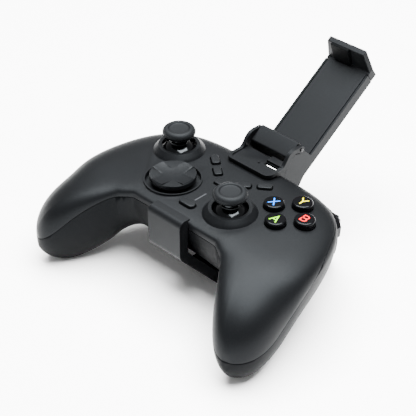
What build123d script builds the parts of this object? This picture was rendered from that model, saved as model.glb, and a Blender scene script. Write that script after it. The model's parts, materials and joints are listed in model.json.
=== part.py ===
from build123d import *
import os
from math import cos, pi, radians, sin

# Wireless gamepad with a clip-on phone holder, in millimetres.
# Working frame: X to the player's right, Y away from the player, Z up, face plate at Z = 0.
# The finished pieces are moved at the end, so that the part stands on Z = 0 with its
# bottom centre at the origin, to the nearest millimetre.

# Case: the right half is a row of rounded sections. The first two are across the middle,
# the next ones fan about the crook between body and grip, the last ones follow the grip.
crook_x = 24.0
crook_y = -42.0
grip_angle = 24.0
grip_steps = (0.0, 10.0, 20.0, 27.0, 32.0, 34.0)
inner_edge = (13.5, 13.5, 14.0, 14.5, 15.8, 17.9, 20.0, 22.2, 25.6, 29.4)
outer_edge = (76.6, 77.6, 76.5, 65.5, 56.0, 52.4, 48.6, 44.3, 38.6, 33.2)
crest_line = (45.0, 45.0, 41.0, 36.0, 32.3, 29.8, 28.7, 28.9, 30.0, 31.2)
keel_line = (58.0, 52.0, 44.0, 37.0, 33.0, 32.0, 32.2, 32.2, 31.6, 31.0)
inner_seam = (-4.5, -4.5, -4.8, -5.7, -7.8, -12.2, -19.2, -25.4, -29.8, -31.0)
outer_seam = (-7.4, -7.8, -7.8, -9.6, -14.8, -21.5, -27.2, -30.6, -32.5, -33.0)
top_line = (0.0, 0.0, 0.0, -0.9, -2.5, -5.2, -9.6, -14.8, -21.6, -27.6)
bottom_line = (-44.3, -42.0, -36.0, -37.5, -43.4, -47.8, -49.52, -47.0, -42.0, -37.8)
inner_top_squareness = (5.0, 4.8, 4.1, 3.5, 3.1, 2.8, 2.5, 2.3, 2.1, 2.0)
outer_top_squareness = (4.0, 3.8, 3.2, 2.6, 2.35, 2.3, 2.3, 2.3, 2.2, 2.1)
outer_bottom_squareness = (3.0, 2.5, 2.3, 2.1, 2.1, 2.2, 2.1, 2.1, 2.0, 2.0)
inner_bottom_squareness = (1.75, 1.9, 2.0, 2.2, 2.3, 2.1, 1.9, 1.8, 1.8, 1.9)
points_per_quarter = 7
wall = 2.2
cavity_sections = 8

# Parting line: height against the distance along the line that leaves each grip
seam_turn = 43.8
seam_gap = 0.35
seam_reach = (-80.0, 10.0, 36.0, 52.0, 62.0, 72.0, 80.0, 87.0, 96.0)
seam_height = (-4.6, -4.6, -4.7, -7.4, -12.0, -18.8, -25.7, -30.8, -34.0)

# Running fit of pins, and the gap kept between moving neighbours
fit = 0.05
gap = 0.3

# Case screws and their bosses
boss_radius = 4.2
boss_spots = ((24.0, 24.0), (58.0, -42.0))
screw_radius = 1.4
screw_bite = 3.0
head_radius = 2.6
head_height = 1.6
head_depth = 3.0

# Thumb sticks
stick_spots = ((-37.8, 12.9), (19.6, -9.2))
stick_tilt_depth = 5.2
pedestal_foot = 13.5
pedestal_top = 10.7
pedestal_height = 3.2
stick_hole = 9.0
dome_radius = 10.4
dome_foot = 0.4
dome_wall = 1.2
neck_radius = 4.1
neck_top = 7.6
cap_radius = 8.0
cap_bottom = 8.5
cap_top = 13.0
cap_dish = 0.7
click_travel = 0.6
shaft_radius = 2.4
hub_half = 2.5
trunnion_radius = 1.0
fork_inner = 3.0
fork_outer = 4.4
fork_half = 1.6
post_inner = 4.2
post_outer = 5.8
housing_size = 17.0
housing_floor = 1.0

# Direction pad
dpad_spot = (-20.2, -8.6)
dpad_radius = 11.7
dpad_top = 4.0
dpad_bottom = 0.5
dpad_dish = 1.2
dpad_arm = 7.0
facet_start = 5.0
facet_tilt = 3.5
well_radius = 14.0
rim_radius = 14.7
rim_height = 0.8
well_depth = 1.8
well_floor = 1.8
dpad_hole = 7.0
dpad_pivot = -4.8
ring_outer = 6.2
ring_inner = 4.2
ring_half = 1.3
dpad_stem = 3.2
dpad_pin = 0.9

# Round face buttons
cluster_spot = (40.7, 9.2)
cluster_pitch = 9.75
button_radius = 5.1
button_top = 2.8
button_edge = 0.9
flange_width = 0.9
flange_top = -2.65
flange_height = 0.8
stem_radius = 2.5
stem_bottom = -5.0

# Small keys: centre, length and turn
key_length = 7.2
key_width = 4.1
key_corner = 1.1
key_top = 1.2
key_gap = 0.5
key_flange = 1.0
key_spots = ((0.0, 5.0, 0.0), (9.0, 11.5, 37.0), (17.0, 18.0, 37.0))
mode_spot = (0.0, -18.3)
mode_length = 9.0
mode_width = 4.4
mode_corner = 2.1

# Light slit below the centre key
slit_spot = (0.5, -10.0)
slit_length = 8.0
slit_width = 0.8

# Circuit board, pads, battery and charging socket
board_top = -10.5
board_thickness = 1.6
board_outline = ((20.0, 30.0), (24.0, 21.6), (46.5, 21.6), (54.0, 12.0), (54.0, -6.0),
                 (47.0, -10.0), (47.0, -23.0))
board_posts = ((43.0, -14.0), (14.0, 26.0))
post_radius = 2.6
board_screw = 0.9
board_head = 2.0
pad_thickness = 0.8
pad_height = 3.8
battery_width = 50.0
battery_length = 34.0
battery_front = -14.5
battery_bottom = -23.0
battery_rib = 19.0
rib_thickness = 2.0
socket_width = 9.0
socket_height = 3.2
socket_front = 27.0
socket_back = 34.4

# Vibration motors in the grips
motor_y = -28.0
motor_z = -23.5
motor_radius = 9.0
motor_start = 52.0
motor_end = 62.0
motor_shaft = 1.0
weight_start = 63.0
weight_end = 68.0
weight_radius = 7.0

# Bumpers
bumper_start = 26.2
bumper_end = 58.0
bumper_top = -7.9
bumper_bottom = -13.4
bumper_proud = 2.4
bumper_depth = 5.0
bumper_travel = 1.0

# Triggers
trigger_start = 27.0
trigger_top = -13.9
trigger_front = 33.0
trigger_wall = 2.2
trigger_back = ((40.5, -13.9), (42.9, -16.4), (43.5, -22.0), (44.3, -30.0), (47.8, -42.0))
trigger_tip = (45.4, -42.8)
trigger_side = ((37.5, 48.0), (41.2, 45.8), (45.4, 41.8), (49.4, 37.2), (52.6, 32.0), (53.6, 26.0))
trigger_pivot = (22.0, -17.5)
trigger_hub = 3.2
trigger_pin = 1.0
hub_start = 35.3
hub_end = 46.7
ear_thickness = 2.0
ear_half = 3.5
opening_bottom = -27.0

# Phone holder: strap round the case, and an arm that leans back
strap_half = 11.0
strap_lip = -27.6
strap_inner = -28.9
strap_front = -34.5
strap_top = 1.5
strap_shoulder = -18.0
strap_keel = -5.0
strap_floor = -44.8
stand_floor = -49.6
leg_inner = 9.0
leg_front = 39.6
leg_back = 44.0
leg_slope = 54.0
ear_front = 36.2
ear_foot = -15.0
ear_top = ((38.2, -0.2), (40.0, 2.2), (41.1, 4.6), (43.0, 6.0), (45.2, 5.6), (47.6, 4.7), (50.4, 5.2))
arm_angle = 34.0
arm_offset = -31.2
arm_half = 14.2
arm_wall = 1.2
arm_depth = 6.0
arm_skin = 1.7
arm_start = 36.5
arm_end = 98.0
slot_depth = 0.7
slot_low = -3.7
slot_high = -2.1
jaw_start = 46.2
jaw_block = 4.5
lip_base = 14.0
lip_half = 12.0
lip_height = 11.3
lip_thickness = 3.1
lip_flare = 2.9
lip_pad_start = -9.2
lip_pad_end = 2.5
lip_pad_thickness = 1.2

# Knuckle block and clamp flap
block_half = 12.4
block_face = ((45.8, 0.0), (45.8, 13.1), (35.5, 12.9), (35.5, 8.3), (38.2, 0.0))
block_round = 1.0
holder_screw_along = 41.5
holder_screw_side = 7.0
holder_screw = 1.2
holder_head = 2.4
flap_pivot = (47.6, 7.2)
flap_pin = 1.0
flap_eye = 2.0
cheek_top = ((34.8, 3.3), (37.3, 6.6), (39.8, 8.7), (43.5, 9.35))
cheek_under = ((45.4, 6.2), (42.8, 6.6), (40.6, 5.2), (39.4, 2.5))
cheek_inner = 12.8
cheek_start = 31.0
cheek_outer = 14.8
flap_front = 22.8
flap_back = 38.0
flap_low = 0.35
flap_floor = 1.6
flap_rim = 2.4
flap_ledge = 3.0
flap_ledge_start = 33.5
flap_slot_inner = 4.0
flap_slot_outer = 12.8
flap_slot_front = 31.3
flap_slot_back = 33.1
flap_spring_radius = 1.6
flap_spring_half = 4.5
roll_radius = 1.6
roll_half = 4.0
roll_along = 42.6
roll_height = -2.4


def box(x0, x1, y0, y1, z0, z1):
    """Block between two corners."""
    block = Box(x1 - x0, y1 - y0, z1 - z0)
    return Pos((x0 + x1) / 2, (y0 + y1) / 2, (z0 + z1) / 2) * block


def rod(axis, radius, start, end, at):
    """Cylinder along an axis; at gives its two other coordinates."""
    length = end - start
    middle = (start + end) / 2
    if axis == "X":
        return Pos(middle, at[0], at[1]) * Rot(0, 90, 0) * Cylinder(radius, length)
    if axis == "Y":
        return Pos(at[0], middle, at[1]) * Rot(90, 0, 0) * Cylinder(radius, length)
    return Pos(at[0], at[1], middle) * Cylinder(radius, length)


def side_plate(points, x0, x1):
    """Outline of (y, z) points in the side view, stretched from x0 to x1."""
    wire = Wire.make_polygon([Vector(x0, y, z) for y, z in points])
    return extrude(Face(wire), amount=x1 - x0, dir=(1, 0, 0))


def plan_plate(points, z0, z1):
    """Outline of (x, y) points in the plan, stretched from z0 to z1."""
    wire = Wire.make_polygon([Vector(x, y, z0) for x, y in points])
    return extrude(Face(wire), amount=z1 - z0, dir=(0, 0, 1))


def turned(points, spot):
    """Outline of (radius, z) points, turned about the upright axis through a spot."""
    wire = Wire.make_polygon([Vector(r, 0, z) for r, z in points])
    return Pos(spot[0], spot[1], 0) * revolve(Face(wire), Axis.Z)


def capsule(spot, length, width, turn, z0, z1):
    """Upright bar with round ends."""
    outline = SlotOverall(length, width)
    return Pos(spot[0], spot[1], z0) * Rot(0, 0, turn) * extrude(outline, z1 - z0)


def tile(spot, length, width, corner, turn, z0, z1):
    """Upright bar with rounded corners."""
    outline = RectangleRounded(length, width, corner)
    return Pos(spot[0], spot[1], z0) * Rot(0, 0, turn) * extrude(outline, z1 - z0)


def both_sides(shape):
    """A shape of the right half together with its mirror image."""
    return shape + mirror(shape, Plane.YZ)


def section_frame(index):
    """Foot and heading in degrees of a case section on the right half."""
    if index == 0:
        return (0.0, crook_y), 90.0
    if index <= 4:
        return (crook_x, crook_y), 90.0 - (90.0 - grip_angle) * (index - 1) / 3
    along = grip_steps[index - 4]
    turn = radians(grip_angle)
    return (crook_x + along * sin(turn), crook_y - along * cos(turn)), grip_angle


def quarter(side, side_height, apex, apex_height, squareness):
    """Points of a rounded quarter from its side to its apex."""
    points = []
    for step in range(points_per_quarter + 1):
        angle = pi / 2 * step / points_per_quarter
        across = cos(angle) ** (2 / squareness) if step < points_per_quarter else 0.0
        rise = sin(angle) ** (2 / squareness)
        points.append((apex - (apex - side) * across,
                       side_height + (apex_height - side_height) * rise))
    return points


def case_section(index, inset, grow):
    """Upper and lower outline of a section, drawn in by inset, its outer edge moved by grow."""
    inner = inner_edge[index] + inset
    outer = outer_edge[index] - inset + grow
    crest = crest_line[index]
    keel = keel_line[index]
    top = top_line[index] - inset
    bottom = bottom_line[index] + inset
    low_in = inner_seam[index]
    low_out = outer_seam[index]
    upper_inner = quarter(inner, low_in, crest, top, inner_top_squareness[index])
    upper_outer = quarter(outer, low_out, crest, top, outer_top_squareness[index])
    lower_outer = quarter(outer, low_out, keel, bottom, outer_bottom_squareness[index])
    lower_inner = quarter(inner, low_in, keel, bottom, inner_bottom_squareness[index])
    foot, heading = section_frame(index)
    turn = radians(heading)
    halves = (upper_inner + upper_outer[::-1][1:], lower_outer + lower_inner[::-1][1:])
    return [[(foot[0] + u * cos(turn), foot[1] + u * sin(turn), z) for u, z in half]
            for half in halves]


def spacing(outlines):
    """Share of the length at each point, averaged over like outlines."""
    shares = [0.0] * len(outlines[0])
    for outline in outlines:
        steps = [Vector(*start).sub(Vector(*end)).length for start, end in zip(outline, outline[1:])]
        for index in range(len(steps)):
            shares[index + 1] += sum(steps[:index + 1]) / sum(steps) / len(outlines)
    return shares


def case_body(inset=0.0, grow=0.0, sections=len(inner_edge)):
    """Loft from the left grip through the middle to the right grip."""
    right = [case_section(index, inset, grow) for index in range(sections)]
    shares = [spacing([halves[half] for halves in right]) for half in (0, 1)]
    wires = []
    for side, rows in ((-1, right[:0:-1]), (1, right)):
        for halves in rows:
            upper, lower = [[Vector(side * x, y, z) for x, y, z in half] for half in halves]
            wires.append(Wire([Edge.make_spline(upper, parameters=shares[0]),
                               Edge.make_spline(lower, parameters=shares[1])]))
    return Part() + Solid.make_loft(wires)


def seam_at(x, y):
    """Height of the parting line over a spot of the plan."""
    reach = abs(x) * cos(radians(seam_turn)) - y * sin(radians(seam_turn))
    for index in range(len(seam_reach) - 1):
        if reach <= seam_reach[index + 1]:
            share = (reach - seam_reach[index]) / (seam_reach[index + 1] - seam_reach[index])
            return seam_height[index] + share * (seam_height[index + 1] - seam_height[index])
    return seam_height[-1]


def parting_block(drop):
    """Everything below the parting surface lowered by drop; flat at the screw bosses."""
    turn = radians(seam_turn)
    along = Vector(sin(turn), cos(turn), 0)
    across = Vector(cos(turn), -sin(turn), 0)
    line = [across * reach - along * 120 + Vector(0, 0, height - drop)
            for reach, height in zip(seam_reach, seam_height)]
    low = [Vector(line[-1].X, line[-1].Y, -70), Vector(line[0].X, line[0].Y, -70)]
    edges = [Edge.make_line(line[0], line[1]),
             Edge.make_spline(line[1:]),
             Edge.make_line(line[-1], low[0]),
             Edge.make_line(low[0], low[1]),
             Edge.make_line(low[1], line[0])]
    block = extrude(Face(Wire(edges)), amount=260, dir=along)
    block = block & box(0, 110, -110, 110, -80, 30)
    for x, y in boss_spots:
        level = seam_at(x, y)
        block -= rod("Z", boss_radius + gap, level, level + 12, (x, y))
        block += rod("Z", boss_radius + gap, level - 12, level, (x, y))
    return both_sides(block)


def button_spots():
    """Name and centre of the four round buttons."""
    x, y = cluster_spot
    return {"button_x": (x - cluster_pitch, y), "button_b": (x + cluster_pitch, y),
            "button_y": (x, y + cluster_pitch), "button_a": (x, y - cluster_pitch)}


def small_keys():
    """Name, centre, length, width, corner and turn of the six long keys."""
    (x0, y0, t0), (x1, y1, t1), (x2, y2, t2) = key_spots
    size = (key_length, key_width, key_corner)
    return {"key_centre": (x0, y0, *size, t0),
            "key_left_inner": (-x1, y1, *size, -t1), "key_right_inner": (x1, y1, *size, t1),
            "key_left_outer": (-x2, y2, *size, -t2), "key_right_outer": (x2, y2, *size, t2),
            "mode_key": (*mode_spot, mode_length, mode_width, mode_corner, 0.0)}


def board_bottom():
    """Height of the underside of the circuit board."""
    return board_top - board_thickness


def case_ribs():
    """Everything that stands inside the case and belongs to its two shells."""
    deep = -60.0
    ribs = rod("Z", boss_radius, deep, 5, boss_spots[0])
    ribs += rod("Z", boss_radius, deep, 5, boss_spots[1])
    for x, y in board_posts:
        ribs += rod("Z", post_radius, deep, board_bottom(), (x, y))
    ribs += box(battery_rib - rib_thickness / 2, battery_rib + rib_thickness / 2,
                battery_front + 4, battery_front + battery_length - 2, deep, battery_bottom)
    for x in (motor_start + 1.5, motor_end - 1.5 - rib_thickness):
        ribs += box(x, x + rib_thickness, motor_y - motor_radius, motor_y + motor_radius,
                    deep, motor_z)
    for x in (hub_start - gap - ear_thickness, hub_end + gap):
        ribs += box(x, x + ear_thickness, trigger_pivot[0] - ear_half,
                    trigger_pivot[0] + ear_half, deep, trigger_pivot[1] + 2.5)
    ribs = both_sides(ribs)
    ribs -= both_sides(rod("X", motor_radius, motor_start, motor_end, (motor_y, motor_z)))
    return ribs + rod("Z", well_radius + 1.6, -well_depth - well_floor, 5, dpad_spot)


def underside(body, spot):
    """Height of the outside of the case under a spot of the plan."""
    return (body & rod("Z", 0.2, -70, 0, spot)).bounding_box().min.Z


def upper_openings():
    """Holes of the upper shell for the controls, in the order they are cut."""
    holes = []
    for spot in stick_spots:
        holes.append(rod("Z", stick_hole, -8, 8, spot))
        holes.append(Pos(spot[0], spot[1], -stick_tilt_depth) * Sphere(dome_radius + gap))
    holes.append(rod("Z", well_radius, -well_depth, 8, dpad_spot))
    holes.append(rod("Z", dpad_hole, -8, 8, dpad_spot))
    holes.append(rod("X", trunnion_radius + fit, dpad_spot[0] - 12, dpad_spot[0] + 12,
                     (dpad_spot[1], dpad_pivot)))
    for spot in button_spots().values():
        holes.append(rod("Z", button_radius + gap, -8, 8, spot))
        holes.append(rod("Z", button_radius + flange_width + gap, -8, flange_top + gap, spot))
    for x, y, length, width, corner, turn in small_keys().values():
        for room, top in ((key_gap, 8), (key_flange + gap, flange_top + gap)):
            holes.append(tile((x, y), length + 2 * room, width + 2 * room, corner + room, turn, -8, top))
    holes.append(capsule(slit_spot, slit_length + 2 * fit, slit_width + 2 * fit, 90, -8, 8))
    return holes


def pedestals():
    """Collars round the sticks, and the rim and bearings of the direction pad."""
    collars = Part()
    for spot in stick_spots:
        collars += turned([(stick_hole - 2, -1.5), (pedestal_foot + 0.5, -1.5), (pedestal_foot, 0.1),
                           (pedestal_top + 0.4, pedestal_height - 0.4),
                           (pedestal_top, pedestal_height), (stick_hole - 2, pedestal_height)], spot)
    collars += rod("Z", rim_radius, -1.5, rim_height, dpad_spot)
    x, y = dpad_spot
    for side in (-1, 1):
        middle = x + side * (ring_outer + 1.9)
        collars += box(middle - 0.9, middle + 0.9, y - 2.2, y + 2.2,
                       dpad_pivot - 2.2, -well_depth - 0.5)
    return collars


def shoulder_openings():
    """Room in the lower shell for a bumper, a trigger and their travel."""
    room = box(bumper_start - gap, bumper_end + gap, 12, 60, bumper_bottom - gap, bumper_top + gap)
    side = trigger_side[-1][0] + 0.5
    room += box(trigger_start - 0.5, side, trigger_pivot[0] + ear_half + gap, 60,
                opening_bottom, bumper_bottom)
    room += box(hub_end + 2 * gap + ear_thickness, side, 12, 60, opening_bottom, bumper_bottom)
    return room


def case_shells():
    """Upper and lower shell, and the heights of the case screws' seats."""
    body = case_body()
    ribs = case_ribs()
    walls = body - (case_body(wall, 0, cavity_sections) - ribs)
    upper = walls - parting_block(0)
    lower = walls & parting_block(seam_gap)
    seats = []
    for x, y in boss_spots:
        seat = underside(body, (x, y)) + head_depth
        seats.append(seat)
        for side in (-1, 1):
            spot = (side * x, y)
            lower -= rod("Z", head_radius + gap, -70, seat, spot)
            lower -= rod("Z", screw_radius + fit, -70, 5, spot)
            upper -= rod("Z", screw_radius + fit, -70, seam_at(x, y) + screw_bite + gap, spot)
    upper += pedestals()
    for hole in upper_openings():
        upper -= hole
    lower -= both_sides(shoulder_openings())
    lower -= both_sides(rod("X", trigger_pin + fit, hub_start - 4, hub_end + 4, trigger_pivot))
    for x, y in board_posts:
        for side in (-1, 1):
            lower -= rod("Z", board_screw + fit, board_top - 6.5, 5, (side * x, y))
    lower -= box(-socket_width / 2 - gap, socket_width / 2 + gap, 24, 40,
                 board_bottom() - socket_height - gap, board_bottom() + gap)
    return upper, lower, seats


def case_screws(seats):
    """The four screws that hold the shells together, driven from below."""
    screws = Part()
    for (x, y), seat in zip(boss_spots, seats):
        screw = rod("Z", head_radius, seat - head_height, seat, (x, y))
        screw += rod("Z", screw_radius, seat - 0.5, seam_at(x, y) + screw_bite, (x, y))
        screw -= rod("Z", 1.1, seat - head_height - 1, seat - head_height + 1, (x, y))
        screws += both_sides(screw)
    return screws


def stick_housing(spot):
    """Square base with two posts that carry the yoke."""
    x, y = spot
    half = housing_size / 2
    pivot = -stick_tilt_depth
    housing = box(x - half, x + half, y - half, y + half, board_top, board_top + housing_floor)
    for side in (-1, 1):
        inner, outer = sorted((side * post_inner, side * post_outer))
        housing += box(x + inner, x + outer, y - fork_half, y + fork_half, board_top, pivot + 1.2)
    return housing - rod("X", trunnion_radius + fit, x - 8, x + 8, (y, pivot))


def stick_yoke(spot):
    """Cross piece: tilts in the housing, and the dome tilts on it."""
    x, y = spot
    pivot = -stick_tilt_depth
    yoke = box(x - hub_half, x + hub_half, y - hub_half, y + hub_half,
               pivot - hub_half, pivot + hub_half)
    yoke += rod("X", trunnion_radius, x - post_outer, x + post_outer, (y, pivot))
    return yoke - rod("Y", trunnion_radius + fit, y - 5, y + 5, (x, pivot))


def stick_dome(spot):
    """Round cover with its neck, and the fork that straddles the yoke."""
    x, y = spot
    pivot = -stick_tilt_depth
    inner = dome_radius - dome_wall
    dome = Pos(x, y, pivot) * (Sphere(dome_radius) - Sphere(inner))
    half = dome_radius + 1
    dome &= box(x - half, x + half, y - half, y + half, dome_foot, pivot + half)
    crown = pivot + hub_half * 1.42 + gap
    dome += rod("Z", neck_radius, crown, neck_top, spot) & (
        (Pos(x, y, pivot) * Sphere(inner + 0.4)) + rod("Z", neck_radius, crown + 1, 20, spot))
    for side in (-1, 1):
        inner_y, outer_y = sorted((side * fork_inner, side * fork_outer))
        dome += box(x - fork_half, x + fork_half, y + inner_y, y + outer_y, pivot - 1.5, crown + 1)
    dome += rod("Y", trunnion_radius, y - fork_outer, y + fork_outer, (x, pivot))
    return dome - rod("Z", shaft_radius + fit, crown - 0.01, 20, spot)


def thumb_cap(spot):
    """Dished cap with the shaft that slides in the neck."""
    middle = cap_bottom + 2
    lift = cap_radius - 0.8
    foot = -stick_tilt_depth + hub_half * 1.42 + gap + click_travel + 0.2
    ceiling = neck_top + click_travel + gap
    outline = [(0, foot), (shaft_radius, foot), (shaft_radius, ceiling), (neck_radius + 0.5, ceiling),
               (neck_radius + 0.5, cap_bottom), (cap_radius - 0.6, cap_bottom + 0.3),
               (cap_radius, middle - 0.4), (cap_radius, middle + 0.6), (lift, cap_top - 0.3),
               (lift - 1.0, cap_top), (lift - 1.7, cap_top - 0.2), (lift - 2.6, cap_top - cap_dish),
               (0, cap_top - cap_dish - 0.3)]
    return turned(outline, spot)


def dpad_actuator():
    """Gimbal ring: tilts in the shell, and the pad tilts in it."""
    x, y = dpad_spot
    ring = rod("Z", ring_outer, dpad_pivot - ring_half, dpad_pivot + ring_half, dpad_spot)
    ring += rod("X", trunnion_radius, x - ring_outer - 2.6, x + ring_outer + 2.6, (y, dpad_pivot))
    ring -= rod("Z", ring_inner, -9, 9, dpad_spot)
    return ring - rod("Y", dpad_pin + fit, y - 9, y + 9, (x, dpad_pivot))


def dpad_disc():
    """Dished round pad with a raised cross, its stem and cross pin."""
    x, y = dpad_spot
    middle = (dpad_bottom + dpad_top) / 2
    disc = turned([(0, dpad_bottom), (dpad_radius - 0.6, dpad_bottom), (dpad_radius, dpad_bottom + 0.6),
                   (dpad_radius, dpad_top - 0.8), (dpad_radius - 0.7, dpad_top),
                   (dpad_radius - 1.4, dpad_top), (0, dpad_top)], dpad_spot)
    bowl_radius = (dpad_radius ** 2 + dpad_dish ** 2) / (2 * dpad_dish)
    disc -= Pos(x, y, dpad_top - dpad_dish + bowl_radius) * Sphere(bowl_radius)
    floor = dpad_top - dpad_dish * (1 - (facet_start / dpad_radius) ** 2)
    reach = dpad_radius + 1
    corner = box(dpad_arm / 2, reach, dpad_arm / 2, reach, middle, dpad_top + 1)
    for turn in (45, 135, 225, 315):
        facet = Rot(0, 0, 45) * Pos(facet_start, 0, floor) * Rot(0, -facet_tilt, 0) * box(-9, 9, -9, 9, 0, 6)
        disc -= Pos(x, y, 0) * Rot(0, 0, turn - 45) * (facet & corner)
    disc += rod("Z", dpad_stem, dpad_pivot - ring_half, middle, dpad_spot)
    return disc + rod("Y", dpad_pin, y - ring_outer, y + ring_outer, (x, dpad_pivot))


def face_button(spot):
    """Round button with a rounded edge, a flange below the face and a stem."""
    button = rod("Z", button_radius, flange_top - flange_height, button_top, spot)
    button = fillet(button.edges().group_by(Axis.Z)[-1], button_edge)
    button += rod("Z", button_radius + flange_width, flange_top - flange_height, flange_top, spot)
    return button + rod("Z", stem_radius, stem_bottom, flange_top, spot)


def long_key(x, y, length, width, corner, turn):
    """Long key with a rounded edge, a flange below the face and a stem."""
    low = flange_top - flange_height
    key = tile((x, y), length, width, corner, turn, low, key_top)
    key = fillet(key.edges().group_by(Axis.Z)[-1], 0.4)
    key += tile((x, y), length + 2 * key_flange, width + 2 * key_flange, corner + key_flange, turn,
                low, flange_top)
    return key + capsule((x, y), length - 3, width - 2, turn, stem_bottom, flange_top)


def main_board():
    """Circuit board under the face."""
    right = [(0, 30.0)] + list(board_outline) + [(0, board_outline[-1][1])]
    board = both_sides(plan_plate(right, board_bottom(), board_top))
    for spot in board_posts:
        board -= both_sides(rod("Z", board_screw + fit, -20, 0, spot))
    for spot in boss_spots:
        board -= both_sides(rod("Z", boss_radius + gap, -20, 0, spot))
    return board


def board_screws():
    """Small screws that hold the board on its posts."""
    screws = Part()
    for spot in board_posts:
        screw = rod("Z", board_head, board_top, board_top + 1.1, spot)
        screw += rod("Z", board_screw, board_top - 6, board_top + 0.5, spot)
        screws += both_sides(screw)
    return screws


def contact_pad(outline, domes, radius):
    """Silicone sheet on the board with a dome below each stem."""
    pad = plan_plate(outline, board_top, board_top + pad_thickness)
    for x, y in domes:
        pad += turned([(0, board_top), (radius, board_top), (radius, board_top + pad_thickness + 0.4),
                       (radius * 0.7, board_top + pad_height), (0, board_top + pad_height)], (x, y))
    return pad


def battery():
    """Flat battery on two ribs below the board."""
    return box(-battery_width / 2, battery_width / 2, battery_front, battery_front + battery_length,
               battery_bottom, board_bottom() - gap)


def usb_socket():
    """Charging socket in the rear wall, an open oval shell with a tongue."""
    half = socket_width / 2
    low = board_bottom() - socket_height
    middle = board_bottom() - socket_height / 2
    outer = box(-half, half, socket_front, socket_back, low, board_bottom())
    outer = fillet(outer.edges().filter_by(Axis.Y), 1.3)
    inner = box(-half + 0.4, half - 0.4, socket_front + 1, socket_back + 1, low + 0.4, board_bottom() - 0.4)
    inner = fillet(inner.edges().filter_by(Axis.Y), 0.9)
    return outer - inner + box(-half + 1.6, half - 1.6, socket_front, socket_back - 1,
                               middle - 0.35, middle + 0.35)


def light_guide():
    """Clear bar that fills the slit, with a foot below the face."""
    guide = capsule(slit_spot, slit_length, slit_width, 90, flange_top - 1, 0.05)
    return guide + capsule(slit_spot, slit_length + 1.2, slit_width + 1.6, 90, flange_top - 1, flange_top)


def motor(side):
    """Vibration motor with its shaft, lying across the grip."""
    centre = (motor_y, motor_z)
    can = rod("X", motor_radius, motor_start, motor_end, centre)
    can += rod("X", motor_shaft, motor_end - 1, weight_end + 0.4, centre)
    return can if side > 0 else mirror(can, Plane.YZ)


def motor_weight(side):
    """Half-round weight on the motor shaft."""
    centre = (motor_y, motor_z)
    weight = rod("X", weight_radius, weight_start, weight_end, centre)
    weight &= box(weight_start - 1, weight_end + 1, motor_y - 20, motor_y + 20, motor_z - 20, motor_z)
    weight += rod("X", motor_shaft + 1.6, weight_start, weight_end, centre)
    weight -= rod("X", motor_shaft + fit, weight_start - 1, weight_end + 1, centre)
    return weight if side > 0 else mirror(weight, Plane.YZ)


def bumper():
    """Curved bar above the trigger, on the right."""
    bar = case_body(0, bumper_proud) & box(bumper_start, bumper_end, 12, 60, bumper_bottom, bumper_top)
    return bar - case_body(bumper_depth, 0, cavity_sections)


def trigger():
    """Hollow curved trigger with its hub, on the right."""
    start = trigger_start
    end = trigger_side[-1][0]
    back = [Vector(start, y, z) for y, z in trigger_back]
    front = Vector(start, trigger_front, trigger_top)
    tip = Vector(start, *trigger_tip)
    heel = Vector(start, trigger_front, trigger_top - 4)
    edges = [Edge.make_line(front, back[0]), Edge.make_spline(back), Edge.make_line(back[-1], tip),
             Edge.make_line(tip, heel), Edge.make_line(heel, front)]
    outer = extrude(Face(Wire(edges)), amount=end - start, dir=(1, 0, 0))
    outer &= trigger_plan(0)
    hollow = [(trigger_front - 9, trigger_top - trigger_wall)]
    hollow += [(y - trigger_wall, z - (trigger_wall if z == trigger_top else 0))
               for y, z in trigger_back[:-1]]
    hollow += [(trigger_back[-1][0] - trigger_wall, trigger_back[-1][1] + 1.5),
               (trigger_front - 9, trigger_back[-1][1] + 1.5)]
    blade = outer - (side_plate(hollow, start, end) & trigger_plan(trigger_wall))
    y, z = trigger_pivot
    arm = side_plate([(y, z + trigger_hub), (trigger_front + 2, trigger_top),
                      (trigger_back[1][0] - 1.2, trigger_back[1][1]),
                      (trigger_back[2][0] - 1.2, trigger_back[2][1] - 2), (y, z - trigger_hub)],
                     hub_start, hub_end)
    arm += rod("X", trigger_hub, hub_start, hub_end, trigger_pivot)
    return blade + arm - rod("X", trigger_pin + fit, hub_start - 1, hub_end + 1, trigger_pivot)


def trigger_plan(inset):
    """Plan outline of the trigger, drawn in by inset."""
    turn = [Vector(x - inset, y - inset, -60) for x, y in trigger_side]
    start = trigger_start + inset
    corner = [Vector(turn[-1].X, 0, -60), Vector(start, 0, -60), Vector(start, turn[0].Y, -60)]
    edges = [Edge.make_spline(turn), Edge.make_line(turn[-1], corner[0]),
             Edge.make_line(corner[0], corner[1]), Edge.make_line(corner[1], corner[2]),
             Edge.make_line(corner[2], turn[0])]
    return extrude(Face(Wire(edges)), amount=70, dir=(0, 0, 1))


def trigger_pins():
    """Hinge pins of the two triggers."""
    return both_sides(rod("X", trigger_pin, hub_start - gap - ear_thickness - 2.2,
                          hub_end + gap + ear_thickness, trigger_pivot))


def trigger_springs():
    """Coils of the trigger return springs, beside the inner ears."""
    end = hub_start - gap - ear_thickness - 0.1
    coil = rod("X", 2.3, end - 1.8, end, trigger_pivot)
    return both_sides(coil - rod("X", trigger_pin + fit, end - 3, end + 1, trigger_pivot))


def arm_point(along, height):
    """Side view (y, z) of a point on the arm, from its length and its height off the front."""
    turn = radians(arm_angle)
    rise = arm_offset + height
    return (along * cos(turn) - rise * sin(turn), along * sin(turn) + rise * cos(turn))


def arm_block(start, end, low, high, x0, x1):
    """Block on the arm, between two lengths and two heights."""
    corners = [(start, low), (end, low), (end, high), (start, high)]
    return side_plate([arm_point(along, height) for along, height in corners], x0, x1)


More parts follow.
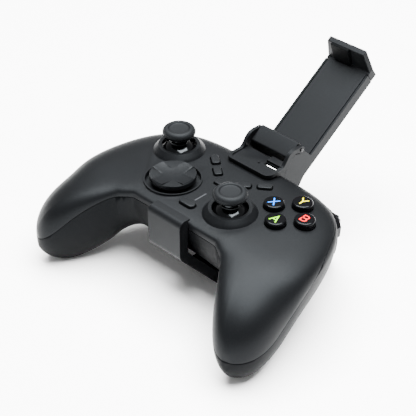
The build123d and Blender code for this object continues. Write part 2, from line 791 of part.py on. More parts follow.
def clip_frame():
    """Strap round the case, two legs and the rail of the arm, in one piece."""
    slope = (strap_floor - strap_shoulder) / (strap_keel - strap_inner)
    thick = strap_inner - strap_front
    outer_keel = strap_front + (stand_floor - strap_shoulder + 1.5) / slope
    strap = side_plate([(strap_lip, flap_low), (strap_inner, flap_low), (strap_inner, strap_shoulder),
                        (strap_keel, strap_floor), (leg_back, strap_floor), (leg_back, stand_floor),
                        (outer_keel, stand_floor), (strap_front, strap_shoulder - 1.5),
                        (strap_front, strap_top - 0.8), (strap_front + 0.8, strap_top),
                        (strap_lip, strap_top)], -strap_half, strap_half)
    strap = fillet([edge for edge in strap.edges().filter_by(Axis.X)
                    if abs(edge.center().Y - strap_front) < 0.1
                    and edge.center().Z < strap_shoulder], thick)
    frame = strap + box(-arm_half, arm_half, leg_front - 4, leg_back, stand_floor, strap_floor)
    turn = radians(leg_slope)
    bend = arm_point(arm_start, -arm_depth)
    knee = (leg_back, bend[1] - (bend[0] - leg_back) * sin(turn) / cos(turn))
    shift = leg_back - leg_front
    inner_bend = arm_point(arm_start, -1.0)
    inner_knee = (leg_front, inner_bend[1] - (inner_bend[0] - leg_front) * sin(turn) / cos(turn))
    leg = side_plate([(leg_back, stand_floor), knee, bend, arm_point(arm_start + 6, -arm_depth),
                      arm_point(arm_start + 6, 0), arm_point(arm_start, 0), inner_bend,
                      inner_knee, (leg_front, stand_floor)], leg_inner, arm_half)
    leg -= arm_block(arm_start - 0.6, arm_end, -arm_depth + arm_skin, 20, 0, block_half + 0.6)
    frame += both_sides(leg)
    rail = arm_block(arm_start, arm_end, -arm_depth, 0, -arm_half, arm_half)
    inner_half = arm_half - arm_wall
    rail -= arm_block(arm_start - 1, arm_end + 1, -arm_depth + arm_skin, 1, -inner_half, inner_half)
    rail -= arm_block(jaw_start - 1, arm_end + 1, slot_low, slot_high,
                      -inner_half - slot_depth, inner_half + slot_depth)
    frame += rail
    ear = [(ear_front, ear_foot), (ear_front, ear_top[0][1])] + list(ear_top)
    ear += [arm_point(jaw_start, 0), arm_point(jaw_start, -1), arm_point(arm_start + 2, -2),
            arm_point(arm_start, -3), inner_knee]
    frame += both_sides(side_plate(ear, inner_half, arm_half))
    for side in (-1, 1):
        frame -= holder_hole(side, holder_screw + fit)
    return frame


def holder_hole(side, radius):
    """Cylinder square to the arm, at a holder screw."""
    y, z = arm_point(holder_screw_along, 0)
    turned_rod = Rot(arm_angle, 0, 0) * Cylinder(radius, 2 * (arm_depth + 1.5))
    return Pos(side * holder_screw_side, y, z) * turned_rod


def holder_screws():
    """Two screws through the back of the rail into the knuckle block."""
    screws = Part()
    for side in (-1, 1):
        y, z = arm_point(holder_screw_along, -arm_depth - 0.7)
        head = Pos(side * holder_screw_side, y, z) * (Rot(arm_angle, 0, 0) * Cylinder(holder_head, 1.4))
        y, z = arm_point(holder_screw_along, -2.0)
        shank = Pos(side * holder_screw_side, y, z) * (Rot(arm_angle, 0, 0) * Cylinder(holder_screw, 8.4))
        screws += head + shank
    return screws


def knuckle_block():
    """Block at the foot of the rail: the phone stands on it and the flap hinges in it."""
    points = [arm_point(along, height) for along, height in block_face]
    points = [arm_point(block_face[0][0], -arm_depth + arm_skin)] + points
    points += [arm_point(block_face[-1][0], -arm_depth + arm_skin)]
    block = side_plate(points, -block_half, block_half)
    top = arm_point(*block_face[1])
    front = arm_point(*block_face[2])
    block = fillet([edge for edge in block.edges().filter_by(Axis.X)
                    if abs(edge.center().Y - top[0]) < 0.1 or abs(edge.center().Y - front[0]) < 0.1],
                   block_round)
    block -= rod("X", flap_pin + fit, -20, 20, flap_pivot)
    block -= rod("X", flap_spring_radius + gap, -flap_spring_half - gap, flap_spring_half + gap,
                 flap_pivot)
    block -= rod("X", roll_radius, -roll_half, roll_half, arm_point(roll_along, roll_height))
    for side in (-1, 1):
        block -= holder_hole(side, holder_screw + fit)
    return block


def jaw_spring():
    """Rolled strip that pulls the jaw back."""
    centre = arm_point(roll_along, roll_height)
    roll = rod("X", roll_radius, -roll_half, roll_half, centre)
    return roll - rod("X", roll_radius / 2, -roll_half - 1, roll_half + 1, centre)


def phone_jaw():
    """Sliding plate in the rail with the upper lip of the phone grip."""
    inner_half = arm_half - arm_wall
    base = -arm_depth + arm_skin + gap
    jaw_end = arm_end + gap + jaw_block
    jaw = arm_block(jaw_start, jaw_end - 1, base, 0, -inner_half + gap, inner_half - gap)
    jaw += arm_block(jaw_start, jaw_end - 1, slot_low + gap, slot_high - gap,
                     -inner_half - slot_depth + gap, inner_half + slot_depth - gap)
    jaw += arm_block(arm_end + gap, jaw_end, -arm_depth, 0, -lip_base, lip_base)
    under = jaw_end - lip_thickness
    lip = side_plate([arm_point(under, -0.5), arm_point(under + lip_flare, lip_height),
                      arm_point(jaw_end + lip_flare, lip_height), arm_point(jaw_end, -0.5)],
                     -lip_base, lip_base)
    y, z = arm_point(under, 0)
    taper = lip_base - lip_half
    normal = arm_point(under, lip_height)
    for side in (-1, 1):
        wedge = [Vector(side * lip_base, y, z), Vector(side * (lip_base + 4), y, z),
                 Vector(side * (lip_base + 4), *normal), Vector(side * (lip_base - taper), *normal)]
        cut = extrude(Face(Wire.make_polygon(wedge)), amount=24,
                      dir=(0, cos(radians(arm_angle)), sin(radians(arm_angle))))
        lip -= Pos(0, -8 * cos(radians(arm_angle)), -8 * sin(radians(arm_angle))) * cut
    return jaw + lip


def jaw_pad():
    """Soft pad under the lip of the jaw."""
    under = arm_end + gap + jaw_block - lip_thickness
    share = lip_flare / lip_height
    tip = lip_height - 0.1
    corners = [(under + share * 1.0, 1.0), (under + share * tip, tip),
               (under + share * tip - lip_pad_thickness, tip),
               (under + share - lip_pad_thickness, 1.0)]
    return side_plate([arm_point(*corner) for corner in corners], lip_pad_start, lip_pad_end)


def clamp_flap():
    """Tray that clamps the rear edge of the case, swinging on two cheeks."""
    y, z = flap_pivot
    floor = box(-cheek_outer, cheek_outer, flap_front, flap_back, flap_low, flap_floor)
    floor = fillet([edge for edge in floor.edges().filter_by(Axis.Z)
                    if edge.center().Y < flap_front + 1], 4.0)
    rim = box(-cheek_outer, cheek_outer, flap_front, flap_back, flap_low, flap_rim)
    rim = fillet([edge for edge in rim.edges().filter_by(Axis.Z)
                  if edge.center().Y < flap_front + 1], 4.0)
    recess = box(-cheek_outer + 2, cheek_outer - 2, flap_front + 2, flap_back + 1, flap_floor, 9)
    recess = fillet([edge for edge in recess.edges().filter_by(Axis.Z)
                     if edge.center().Y < flap_front + 3], 2.0)
    flap = floor + (rim - recess)
    flap += box(flap_slot_inner, cheek_outer - 1, flap_ledge_start, flap_back, flap_low, flap_ledge)
    flap -= box(flap_slot_inner, flap_slot_outer, flap_slot_front, flap_slot_back, -5, 9)
    flap += rod("Z", 0.6, flap_floor - 0.5, flap_floor + 0.5, (flap_slot_inner - 2.4, flap_slot_front - 1))
    upper = [(cheek_start, flap_rim)] + list(cheek_top) + [(y, z + flap_eye)]
    under = [(y, z - flap_eye)] + list(cheek_under) + [(flap_back, flap_low)]
    upper = [Vector(cheek_inner, *point) for point in upper]
    under = [Vector(cheek_inner, *point) for point in under]
    foot = Vector(cheek_inner, cheek_start, flap_low)
    edges = [Edge.make_spline(upper), Edge.make_line(upper[-1], under[0]), Edge.make_spline(under),
             Edge.make_line(under[-1], foot), Edge.make_line(foot, upper[0])]
    cheek = extrude(Face(Wire(edges)), amount=cheek_outer - cheek_inner, dir=(1, 0, 0))
    cheek += rod("X", flap_eye, cheek_inner, cheek_outer, flap_pivot)
    flap += both_sides(cheek)
    return flap - rod("X", flap_pin + fit, -20, 20, flap_pivot)


def flap_hinge_pin():
    """Hinge pin of the flap with a head at each end."""
    return rod("X", flap_pin, -cheek_outer - 0.5, cheek_outer + 0.5, flap_pivot)


def flap_spring():
    """Coils of the flap spring round its pin."""
    coil = rod("X", flap_spring_radius, -flap_spring_half, flap_spring_half, flap_pivot)
    return coil - rod("X", flap_pin + 3 * fit, -20, 20, flap_pivot)


def all_pieces():
    """Every piece by name, in the working frame."""
    upper, lower, seats = case_shells()
    pieces = {"top_shell": upper, "bottom_shell": lower, "case_screws": case_screws(seats)}
    for side, spot in zip(("left", "right"), stick_spots):
        pieces[side + "_stick_housing"] = stick_housing(spot)
        pieces[side + "_stick_yoke"] = stick_yoke(spot)
        pieces[side + "_stick_dome"] = stick_dome(spot)
        pieces[side + "_thumb_cap"] = thumb_cap(spot)
    pieces["dpad_actuator"] = dpad_actuator()
    pieces["dpad_disc"] = dpad_disc()
    for name, spot in button_spots().items():
        pieces[name] = face_button(spot)
    for name, key in small_keys().items():
        pieces[name] = long_key(*key)
    pieces["light_guide"] = light_guide()
    pieces["main_board"] = main_board()
    pieces["board_screws"] = board_screws()
    x, y = cluster_spot
    reach = cluster_pitch + 2
    cluster = [(x - reach, y - reach), (x + reach, y - reach), (x + reach, y + reach - 1),
               (x - reach, y + reach - 1)]
    pieces["face_button_pad"] = contact_pad(cluster, button_spots().values(), 3.4)
    keys = [(-21, 1.5), (-4, 1.5), (-4, -21.5), (4, -21.5), (4, 1.5), (21, 1.5), (21, 21), (-21, 21)]
    pieces["key_pad"] = contact_pad(keys, [key[:2] for key in small_keys().values()], 1.9)
    pieces["battery"] = battery()
    pieces["usb_socket"] = usb_socket()
    bar = bumper()
    blade = trigger()
    pieces["right_bumper"] = bar
    pieces["left_bumper"] = mirror(bar, Plane.YZ)
    pieces["right_trigger"] = blade
    pieces["left_trigger"] = mirror(blade, Plane.YZ)
    pieces["trigger_pins"] = trigger_pins()
    pieces["trigger_springs"] = trigger_springs()
    for name, side in (("left", -1), ("right", 1)):
        pieces[name + "_motor"] = motor(side)
        pieces[name + "_motor_weight"] = motor_weight(side)
    pieces["clip_frame"] = clip_frame()
    pieces["knuckle_block"] = knuckle_block()
    pieces["holder_screws"] = holder_screws()
    pieces["clamp_flap"] = clamp_flap()
    pieces["flap_pin"] = flap_hinge_pin()
    pieces["flap_spring"] = flap_spring()
    pieces["phone_jaw"] = phone_jaw()
    pieces["jaw_pad"] = jaw_pad()
    pieces["jaw_spring"] = jaw_spring()
    return pieces


def export_all():
    """Move the pieces onto the origin and write one file each."""
    pieces = all_pieces()
    boxes = [piece.bounding_box() for piece in pieces.values()]
    low = [min(getattr(b.min, axis) for b in boxes) for axis in "XYZ"]
    high = [max(getattr(b.max, axis) for b in boxes) for axis in "XYZ"]
    shift = (0, -round((low[1] + high[1]) / 2), -low[2])
    print("size", [round(high[i] - low[i], 2) for i in range(3)])
    print("shift", [round(value, 3) for value in shift])
    os.makedirs("parts", exist_ok=True)
    for name, piece in pieces.items():
        moved = Pos(*shift) * piece
        export_step(moved, "parts/" + name + ".step")


export_all()
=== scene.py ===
import math

import bmesh
import bpy
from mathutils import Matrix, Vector
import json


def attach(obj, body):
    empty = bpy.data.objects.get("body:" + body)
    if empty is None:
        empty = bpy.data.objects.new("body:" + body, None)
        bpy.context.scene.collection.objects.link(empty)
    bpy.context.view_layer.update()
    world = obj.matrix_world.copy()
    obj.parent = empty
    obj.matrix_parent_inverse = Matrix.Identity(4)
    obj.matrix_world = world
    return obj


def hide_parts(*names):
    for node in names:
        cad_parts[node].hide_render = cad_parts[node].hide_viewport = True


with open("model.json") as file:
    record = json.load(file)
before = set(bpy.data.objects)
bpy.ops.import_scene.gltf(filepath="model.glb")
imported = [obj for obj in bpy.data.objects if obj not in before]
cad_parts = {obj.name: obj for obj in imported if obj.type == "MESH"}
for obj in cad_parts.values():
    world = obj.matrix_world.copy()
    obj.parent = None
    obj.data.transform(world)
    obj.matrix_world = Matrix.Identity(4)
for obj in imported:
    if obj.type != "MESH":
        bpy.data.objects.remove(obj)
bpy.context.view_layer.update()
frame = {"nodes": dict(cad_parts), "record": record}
nodes = frame["nodes"]

# Millimetres of the face frame (face plate at height 0) to metres of the row frame
mm = 0.001
faceShift = (0.0, -22.0, 49.6)


def place(x, y, z):
    return Vector(((x + faceShift[0]) * mm, (y + faceShift[1]) * mm, (z + faceShift[2]) * mm))


# Camera at the photograph's viewing angle; its distance and target are in millimetres
viewSettings = {"azimuth": 44.67, "elevation": 35.49, "distance": 590.68, "target": (9.48, -14.0, 0.0),
                "lens": 106.76, "sensor": 36.0, "near": 0.01, "far": 20.0}


def addCamera(settings):
    azimuth = math.radians(settings["azimuth"])
    elevation = math.radians(settings["elevation"])
    back = Vector((math.sin(azimuth) * math.cos(elevation),
                   -math.cos(azimuth) * math.cos(elevation), math.sin(elevation)))
    data = bpy.data.cameras.new("camera")
    data.sensor_width = settings["sensor"]
    data.lens = settings["lens"]
    data.clip_start = settings["near"]
    data.clip_end = settings["far"]
    camera = bpy.data.objects.new("camera", data)
    camera.location = place(*settings["target"]) + back * settings["distance"] * mm
    camera.rotation_euler = back.to_track_quat("Z", "Y").to_euler()
    bpy.context.scene.collection.objects.link(camera)
    bpy.context.scene.camera = camera


addCamera(viewSettings)
print("camera done")


# Materials: a noise in object space clouds the colour, and a finer one varies roughness and bump.
# Each material's own settings are laid over the common ones.
commonFinish = {"spread": 0.12, "bump": 0.12, "bumpDepth": 0.00004, "metallic": 0.0, "specular": 0.5,
                "sheen": (1.0, 1.0, 1.0), "grainScale": 2600.0, "grainDetail": 3.0,
                "cloudScale": 35.0, "cloudDetail": 4.0, "noiseLow": 0.3, "noiseHigh": 0.7}
coolSheen = (0.86, 0.94, 1.0)


def addNoise(tree, coords, scale, detail):
    noise = tree.nodes.new("ShaderNodeTexNoise")
    noise.inputs["Scale"].default_value = scale
    noise.inputs["Detail"].default_value = detail
    tree.links.new(coords.outputs["Object"], noise.inputs["Vector"])
    return noise


def makeMaterial(name, ownSettings):
    settings = {**commonFinish, **ownSettings}
    material = bpy.data.materials.new(name)
    material.use_nodes = True
    tree = material.node_tree
    tree.nodes.clear()
    output = tree.nodes.new("ShaderNodeOutputMaterial")
    shader = tree.nodes.new("ShaderNodeBsdfPrincipled")
    coords = tree.nodes.new("ShaderNodeTexCoord")
    tree.links.new(shader.outputs["BSDF"], output.inputs["Surface"])
    grain = addNoise(tree, coords, settings["grainScale"], settings["grainDetail"])
    cloud = addNoise(tree, coords, settings["cloudScale"], settings["cloudDetail"])

    tint = tree.nodes.new("ShaderNodeValToRGB")
    ends = ((settings["noiseLow"], 1 - settings["spread"]), (settings["noiseHigh"], 1 + settings["spread"]))
    for stop, (position, factor) in zip(tint.color_ramp.elements, ends):
        stop.position = position
        stop.color = [channel * factor for channel in settings["color"]] + [1.0]
    tree.links.new(cloud.outputs["Fac"], tint.inputs["Fac"])
    tree.links.new(tint.outputs["Color"], shader.inputs["Base Color"])

    rough = tree.nodes.new("ShaderNodeMapRange")
    rough.inputs["From Min"].default_value = settings["noiseLow"]
    rough.inputs["From Max"].default_value = settings["noiseHigh"]
    rough.inputs["To Min"].default_value = settings["roughness"][0]
    rough.inputs["To Max"].default_value = settings["roughness"][1]
    tree.links.new(grain.outputs["Fac"], rough.inputs["Value"])
    tree.links.new(rough.outputs["Result"], shader.inputs["Roughness"])

    bump = tree.nodes.new("ShaderNodeBump")
    bump.inputs["Strength"].default_value = settings["bump"]
    bump.inputs["Distance"].default_value = settings["bumpDepth"]
    tree.links.new(grain.outputs["Fac"], bump.inputs["Height"])
    tree.links.new(bump.outputs["Normal"], shader.inputs["Normal"])

    shader.inputs["Metallic"].default_value = settings["metallic"]
    shader.inputs["Specular IOR Level"].default_value = settings["specular"]
    shader.inputs["Specular Tint"].default_value = settings["sheen"] + (1.0,)
    return material


materialSettings = {
    "shell_black": {"color": (0.0017, 0.00185, 0.0021), "roughness": (0.4, 0.5), "bump": 0.18,
                    "specular": 0.055, "sheen": coolSheen},
    # shell_lower is coloured darker than shell_black as painted shade for the case's lower, downward-facing
    # sides
    "shell_lower": {"color": (0.0009, 0.001, 0.0012), "roughness": (0.42, 0.52), "bump": 0.18,
                    "specular": 0.03, "sheen": coolSheen},
    "key_gloss": {"color": (0.001, 0.001, 0.0012), "roughness": (0.16, 0.22), "bump": 0.03,
                  "specular": 0.06, "sheen": coolSheen},
    "key_satin": {"color": (0.0022, 0.0024, 0.0027), "roughness": (0.34, 0.42), "bump": 0.08,
                  "specular": 0.07, "sheen": coolSheen},
    "stick_gloss": {"color": (0.0008, 0.0008, 0.0009), "roughness": (0.1, 0.15), "bump": 0.02,
                    "specular": 0.16, "sheen": coolSheen},
    "grip_rubber": {"color": (0.0023, 0.0025, 0.0028), "roughness": (0.5, 0.6), "bump": 0.25,
                    "specular": 0.065, "sheen": coolSheen},
    "holder_black": {"color": (0.0019, 0.00205, 0.0023), "roughness": (0.4, 0.5), "bump": 0.2,
                     "specular": 0.05, "sheen": coolSheen},
    "pad_rubber": {"color": (0.0007, 0.0008, 0.0009), "roughness": (0.5, 0.6), "bump": 0.2,
                   "specular": 0.02, "sheen": coolSheen},
    "inner_plastic": {"color": (0.003, 0.003, 0.0033), "roughness": (0.45, 0.55), "specular": 0.1},
    "clear_light": {"color": (0.018, 0.019, 0.021), "roughness": (0.2, 0.3), "specular": 0.1},
    "silicone": {"color": (0.3, 0.31, 0.32), "roughness": (0.5, 0.6)},
    "board_green": {"color": (0.01, 0.12, 0.05), "roughness": (0.3, 0.4)},
    "battery_wrap": {"color": (0.3, 0.31, 0.34), "roughness": (0.25, 0.35)},
    "steel": {"color": (0.02, 0.02, 0.021), "roughness": (0.45, 0.55), "metallic": 1.0},
    "motor_can": {"color": (0.3, 0.3, 0.31), "roughness": (0.3, 0.4), "metallic": 1.0},
    "weight_brass": {"color": (0.35, 0.27, 0.1), "roughness": (0.3, 0.4), "metallic": 1.0},
}
materials = {name: makeMaterial(name, settings) for name, settings in materialSettings.items()}
slotOf = {row["node"]: row["material_slot"] for row in frame["record"]["subparts"]}
bodyOf = {node: body for body, members in frame["record"]["behaviour"]["bodies"].items()
          for node in members}

for name, obj in nodes.items():
    for slot in obj.material_slots:
        slot.material = materials[slotOf[name]]
print("materials done")


# Paper floor and one large soft light overhead
floorSettings = {"size": 6.0, "finish": {"color": (0.93, 0.93, 0.93), "spread": 0.01, "specular": 0.1,
                                         "roughness": (0.8, 0.9), "grainScale": 400.0}}
lightSettings = {"spot": (0.0, 0.1, 1.1), "aim": (0.0, 0.0, 0.03), "size": (1.3, 1.0), "power": 190.0}
worldSettings = {"color": (1.0, 1.0, 1.0), "strength": 0.6}


def addFloor(settings):
    mesh = bpy.data.meshes.new("floor")
    shape = bmesh.new()
    bmesh.ops.create_grid(shape, x_segments=1, y_segments=1, size=settings["size"] / 2)
    shape.to_mesh(mesh)
    shape.free()
    floor = bpy.data.objects.new("floor", mesh)
    bpy.context.scene.collection.objects.link(floor)
    mesh.materials.append(makeMaterial("floor_paper", settings["finish"]))


def addWorld(settings):
    world = bpy.data.worlds.new("studio")
    world.use_nodes = True
    background = world.node_tree.nodes["Background"]
    background.inputs["Color"].default_value = settings["color"] + (1.0,)
    background.inputs["Strength"].default_value = settings["strength"]
    bpy.context.scene.world = world


def addSoftbox(name, settings):
    data = bpy.data.lights.new(name, "AREA")
    data.shape = "RECTANGLE"
    data.size, data.size_y = settings["size"]
    data.energy = settings["power"]
    light = bpy.data.objects.new(name, data)
    light.location = settings["spot"]
    back = Vector(settings["spot"]) - Vector(settings["aim"])
    light.rotation_euler = back.to_track_quat("Z", "Y").to_euler()
    bpy.context.scene.collection.objects.link(light)


addFloor(floorSettings)
addWorld(worldSettings)
addSoftbox("top_box", lightSettings)
print("stage done")


# What all detailed pieces share: distance in metres under which vertices are merged, angle in
# degrees under which CAD facets count as one face, and number of steps in a softened edge
pieceSettings = {"mergeDistance": 0.000002, "flatAngle": 1.0, "bevelSegments": 3}


def weld(shape):
    bmesh.ops.remove_doubles(shape, verts=shape.verts, dist=pieceSettings["mergeDistance"])


# Face on a ring of vertices, extruded to a closed slab
def addSlab(shape, ring, shift):
    sides = bmesh.ops.extrude_face_region(shape, geom=[shape.faces.new(ring)])
    moved = [item for item in sides["geom"] if isinstance(item, bmesh.types.BMVert)]
    bmesh.ops.translate(shape, vec=shift, verts=moved)


# Object made of a shape; the finish is a material, the slot one of the part's own
def addPiece(name, shape, finish, body):
    mesh = bpy.data.meshes.new(name)
    bmesh.ops.recalc_face_normals(shape, faces=shape.faces)
    shape.to_mesh(mesh)
    shape.free()
    mesh.materials.append(materials[finish])
    obj = bpy.data.objects.new(name, mesh)
    bpy.context.scene.collection.objects.link(obj)
    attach(obj, body)
    return obj


# Smooth piece shown in place of a CAD node
def replaceNode(name, shape, slot, body, node, sharpAngle):
    weld(shape)
    obj = addPiece(name, shape, slot, body)
    for face in obj.data.polygons:
        face.use_smooth = True
    obj.data.set_sharp_from_angle(angle=math.radians(sharpAngle))
    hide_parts(node)
    return obj


# Outline of (radius, height) turned about the upright axis through a spot of the plan
def spinShape(outline, spot, steps=72):
    shape = bmesh.new()
    verts = [shape.verts.new(place(spot[0] + radius, spot[1], height)) for radius, height in outline]
    edges = [shape.edges.new(pair) for pair in zip(verts, verts[1:])]
    bmesh.ops.spin(shape, geom=verts + edges, cent=place(spot[0], spot[1], 0), axis=(0, 0, 1),
                   angle=math.tau, steps=steps, use_merge=True)
    weld(shape)
    return shape


# Copy of a CAD node with welded faces, a reshaped part if one is asked for, and softened edges
def dressNode(node, bevel, sharpAngle, slot=None, reshape=None):
    shape = bmesh.new()
    shape.from_mesh(nodes[node].data)
    weld(shape)
    if bevel:
        bmesh.ops.dissolve_limit(shape, angle_limit=math.radians(pieceSettings["flatAngle"]),
                                 verts=shape.verts, edges=shape.edges)
    if reshape:
        reshape(shape)
    obj = replaceNode(node + "_dressed", shape, slot or slotOf[node], bodyOf[node], node, sharpAngle)
    if bevel:
        modifier = obj.modifiers.new("edges", "BEVEL")
        modifier.width = bevel * mm
        modifier.segments = pieceSettings["bevelSegments"]
        modifier.limit_method = "ANGLE"
        modifier.angle_limit = math.radians(sharpAngle)
        modifier.harden_normals = True


# Thumb sticks: rubber caps and glossy domes, as outlines of (radius, height)
stickSettings = {
    "spots": {"left": (-37.8, 12.9), "right": (19.6, -9.2)}, "sharpAngle": 50.0,
    "pivot": -5.2, "domeRadius": 10.38, "domeStart": 33.0, "domeEnd": 65.5, "domeSteps": 19,
    "capSkin": [(0.0, 12.05), (3.0, 12.1), (4.6, 12.2), (5.1, 12.35), (5.5, 12.8), (5.95, 12.95),
                (6.5, 12.95), (7.3, 12.7), (8.0, 12.1), (8.4, 11.4), (8.55, 10.7), (8.45, 10.0),
                (8.1, 9.3), (7.4, 8.7), (6.5, 8.25), (5.7, 8.0)],
    "capSocket": [(5.1, 7.95), (4.7, 8.4), (4.68, 9.05), (2.38, 9.05), (2.38, -0.6), (0.0, -0.6)],
    "neck": [(4.15, 4.4), (4.1, 5.0), (4.1, 7.3), (3.9, 7.58), (2.6, 7.6), (2.45, 7.4), (2.45, -1.0),
             (4.0, -1.2), (4.2, 2.6), (6.4, 1.4), (7.4, 0.5), (8.5, 0.45)],
}


# Catmull-Rom line through the points
def smoothOutline(points, steps=3):
    line = []
    for index in range(len(points) - 1):
        a = Vector(points[max(index - 1, 0)])
        b = Vector(points[index])
        c = Vector(points[index + 1])
        d = Vector(points[min(index + 2, len(points) - 1)])
        for step in range(steps):
            t = step / steps
            line.append(tuple(0.5 * ((2 * b) + (c - a) * t + (2 * a - 5 * b + 4 * c - d) * t * t
                                     + (3 * b - a - 3 * c + d) * t ** 3)))
    line.append(tuple(points[-1]))
    return line


def domeOutline(settings):
    line = []
    sweep = settings["domeEnd"] - settings["domeStart"]
    for step in range(settings["domeSteps"] + 1):
        angle = math.radians(settings["domeStart"] + step * sweep / settings["domeSteps"])
        line.append((settings["domeRadius"] * math.cos(angle),
                     settings["pivot"] + settings["domeRadius"] * math.sin(angle)))
    return line


def addSticks(settings):
    cap = smoothOutline(settings["capSkin"]) + settings["capSocket"]
    dome = domeOutline(settings) + settings["neck"]
    for side, spot in settings["spots"].items():
        replaceNode(side + "_cap_rubber", spinShape(cap, spot), "grip_rubber", side + "_cap",
                    side + "_thumb_cap", settings["sharpAngle"])
        replaceNode(side + "_dome_gloss", spinShape(dome, spot), "stick_gloss", side + "_stick",
                    side + "_stick_dome", settings["sharpAngle"])


addSticks(stickSettings)
print("sticks done")


# Letters of the round buttons: strokes in millimetres from the button's middle, before scaling
letterSettings = {
    "top": 2.82, "lift": 0.004, "depth": 0.06, "width": 0.68, "scale": 0.79, "capSteps": 8,
    "sharpestMiter": 0.35,
    "finish": {"spread": 0.03, "roughness": (0.3, 0.36), "bump": 0.02, "specular": 0.05},
    "letters": {
        "button_x": {"spot": (30.95, 9.2), "color": (0.003, 0.10, 0.45),
                     "strokes": [[(-2.1, -2.8), (2.1, 2.8)], [(-2.1, 2.8), (2.1, -2.8)]]},
        "button_y": {"spot": (40.7, 18.95), "color": (0.42, 0.37, 0.003),
                     "strokes": [[(0, -2.8), (0, 0)], [(0, 0), (-2.1, 2.8)], [(0, 0), (2.1, 2.8)]]},
        "button_a": {"spot": (40.7, -0.55), "color": (0.12, 0.34, 0.005),
                     "strokes": [[(-2.3, -2.8), (0, 2.8), (2.3, -2.8)], [(-1.5, -0.9), (1.5, -0.9)]]},
        "button_b": {"spot": (50.45, 9.2), "color": (0.42, 0.006, 0.008),
                     "strokes": [[(-1.8, -2.8), (-1.8, 2.8), (0.6, 2.8), (1.6, 2.3), (1.9, 1.4),
                                  (1.5, 0.5), (0.6, 0.1), (-1.8, 0.1)],
                                 [(0.6, 0.1), (1.7, -0.4), (2.1, -1.4), (1.7, -2.3), (0.7, -2.8),
                                  (-1.8, -2.8)]]},
    },
}


# Left side of a direction in the plan
def leftOf(direction):
    return Vector((-direction.y, direction.x))


# Round start of a stroke, its left side, and the left corner at its far end
def strokeSide(points, half, settings):
    start = points[0]
    along = (points[1] - start).normalized()
    side = leftOf(along)
    line = []
    for step in range(1, settings["capSteps"]):
        turn = math.pi * step / settings["capSteps"]
        line.append(start - side * half * math.cos(turn) - along * half * math.sin(turn))
    line.append(start + side * half)
    for before, here, after in zip(points, points[1:], points[2:]):
        first = leftOf((here - before).normalized())
        second = leftOf((after - here).normalized())
        miter = (first + second).normalized()
        line.append(here + miter * half / max(settings["sharpestMiter"], miter.dot(first)))
    line.append(points[-1] + leftOf((points[-1] - points[-2]).normalized()) * half)
    return line


def addStroke(shape, stroke, spot, height, settings):
    points = [Vector(point) * settings["scale"] for point in stroke]
    half = settings["width"] / 2
    outline = strokeSide(points, half, settings) + strokeSide(points[::-1], half, settings)
    ring = [shape.verts.new(place(spot[0] + p.x, spot[1] + p.y, height)) for p in outline]
    addSlab(shape, ring, Vector((0, 0, -settings["depth"] * mm)))


def addLetters(settings):
    for button, letter in settings["letters"].items():
        ink = button + "_ink"
        materials[ink] = makeMaterial(ink, {**settings["finish"], "color": letter["color"]})
        shape = bmesh.new()
        for index, stroke in enumerate(letter["strokes"]):
            addStroke(shape, stroke, letter["spot"], settings["top"] + settings["lift"] * index, settings)
        addPiece(button + "_letter", shape, ink, button)


addLetters(letterSettings)
print("letters done")


# Pieces shown as softened copies: width of the bevel and sharpest angle that is still smoothed.
# The lower case and the triggers stay unbevelled, because they pass each other closely.
roundButton = {"bevel": 0.1, "sharpAngle": 30.0}
smallKey = {"bevel": 0.08, "sharpAngle": 30.0}
dressSettings = {
    "top_shell": {"bevel": 0.22, "sharpAngle": 30.0},
    "bottom_shell": {"bevel": 0.0, "sharpAngle": 30.0},
    "clamp_flap": {"bevel": 0.45, "sharpAngle": 30.0},
    "phone_jaw": {"bevel": 0.5, "sharpAngle": 30.0},
    "jaw_pad": {"bevel": 0.3, "sharpAngle": 30.0},
    "left_bumper": {"bevel": 0.4, "sharpAngle": 35.0},
    "right_bumper": {"bevel": 0.4, "sharpAngle": 35.0},
    "left_trigger": {"bevel": 0.0, "sharpAngle": 35.0},
    "right_trigger": {"bevel": 0.0, "sharpAngle": 35.0},
    "button_a": roundButton,
    "button_b": roundButton,
    "button_x": roundButton,
    "button_y": roundButton,
    "key_left_outer": smallKey,
    "key_left_inner": smallKey,
    "key_centre": smallKey,
    "key_right_inner": smallKey,
    "key_right_outer": smallKey,
    "mode_key": smallKey,
    "flap_pin": {"bevel": 0.12, "sharpAngle": 30.0},
    "usb_socket": {"bevel": 0.08, "sharpAngle": 30.0},
}
for name, settings in dressSettings.items():
    dressNode(name, **settings)


# Clip frame: rounded lip of the strap, and side plates that hook over the back of the case
clipSettings = {"front": -34.5, "top": 1.5, "chamfer": 0.8, "lipRadius": 3.2, "lipSegments": 8,
                "lipProfile": 0.5, "reach": 0.05, "plates": ((-14.15, -13.05), (13.05, 14.15)),
                "hook": ((36.5, 0.0), (30.2, 0.0), (30.2, -0.9), (32.4, -1.85), (33.9, -2.75),
                         (34.75, -3.7), (35.4, -4.9), (35.8, -6.0), (36.5, -6.0))}


# Whether a vertex lies on a line that runs across the part through a spot
def onLine(vert, spot):
    reach = clipSettings["reach"] * mm
    return abs(vert.co.y - spot.y) < reach and abs(vert.co.z - spot.z) < reach


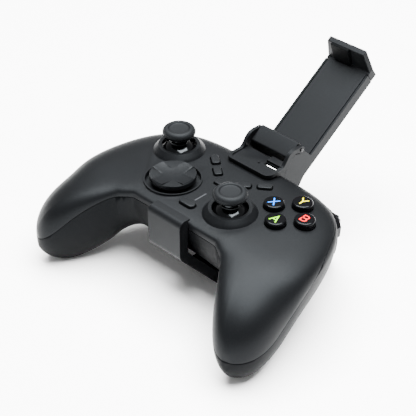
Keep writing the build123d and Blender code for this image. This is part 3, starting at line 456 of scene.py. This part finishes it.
# Chamfer of the strap's top edge turned into a round
def roundLip(shape, settings):
    front, top, chamfer = settings["front"], settings["top"], settings["chamfer"]
    corner = place(0, front, top)
    low = place(0, front, top - chamfer)
    back = place(0, front + chamfer, top)
    for vert in shape.verts:
        if onLine(vert, low) or onLine(vert, back):
            vert.co.y, vert.co.z = corner.y, corner.z
    weld(shape)
    edges = [edge for edge in shape.edges if all(onLine(vert, corner) for vert in edge.verts)]
    bmesh.ops.bevel(shape, geom=edges, offset=settings["lipRadius"] * mm, offset_type="OFFSET",
                    segments=settings["lipSegments"], profile=settings["lipProfile"],
                    affect="EDGES", material=-1)


def addHook(shape, outline, start, end):
    ring = [shape.verts.new(place(start, y, z)) for y, z in outline]
    addSlab(shape, ring, Vector(((end - start) * mm, 0, 0)))


def reshapeClip(shape):
    roundLip(shape, clipSettings)
    for start, end in clipSettings["plates"]:
        addHook(shape, clipSettings["hook"], start, end)


dressNode("clip_frame", bevel=0.4, sharpAngle=30.0, reshape=reshapeClip)


# Block at the foot of the rail: its lower corner reaches down behind the flap. Places on it are
# (length along the arm, height off the arm's front).
blockSettings = {"angle": 34.0, "offset": -31.2, "reach": 0.1, "corner": (35.5, 8.3),
                 "cornerTo": (33.6, 8.0), "foot": 38.2, "footTo": 36.4}


def lowerBlock(shape):
    settings = blockSettings
    reach = settings["reach"]
    turn = math.radians(settings["angle"])
    cos, sin = math.cos(turn), math.sin(turn)
    for vert in shape.verts:
        y = vert.co.y / mm - faceShift[1]
        z = vert.co.z / mm - faceShift[2]
        along = y * cos + z * sin
        height = z * cos - y * sin - settings["offset"]
        if abs(along - settings["corner"][0]) < reach and abs(height - settings["corner"][1]) < reach:
            along, height = settings["cornerTo"]
        elif abs(along - settings["foot"]) < reach and height < reach:
            along = settings["footTo"]
        else:
            continue
        rise = height + settings["offset"]
        spot = place(0, along * cos - rise * sin, along * sin + rise * cos)
        vert.co.y, vert.co.z = spot.y, spot.z


dressNode("knuckle_block", bevel=0.3, sharpAngle=25.0, reshape=lowerBlock)

# Disc of the D-pad, less glossy than the round buttons
dressNode("dpad_disc", bevel=0.22, sharpAngle=22.0, slot="key_satin")
print("dressed pieces done")
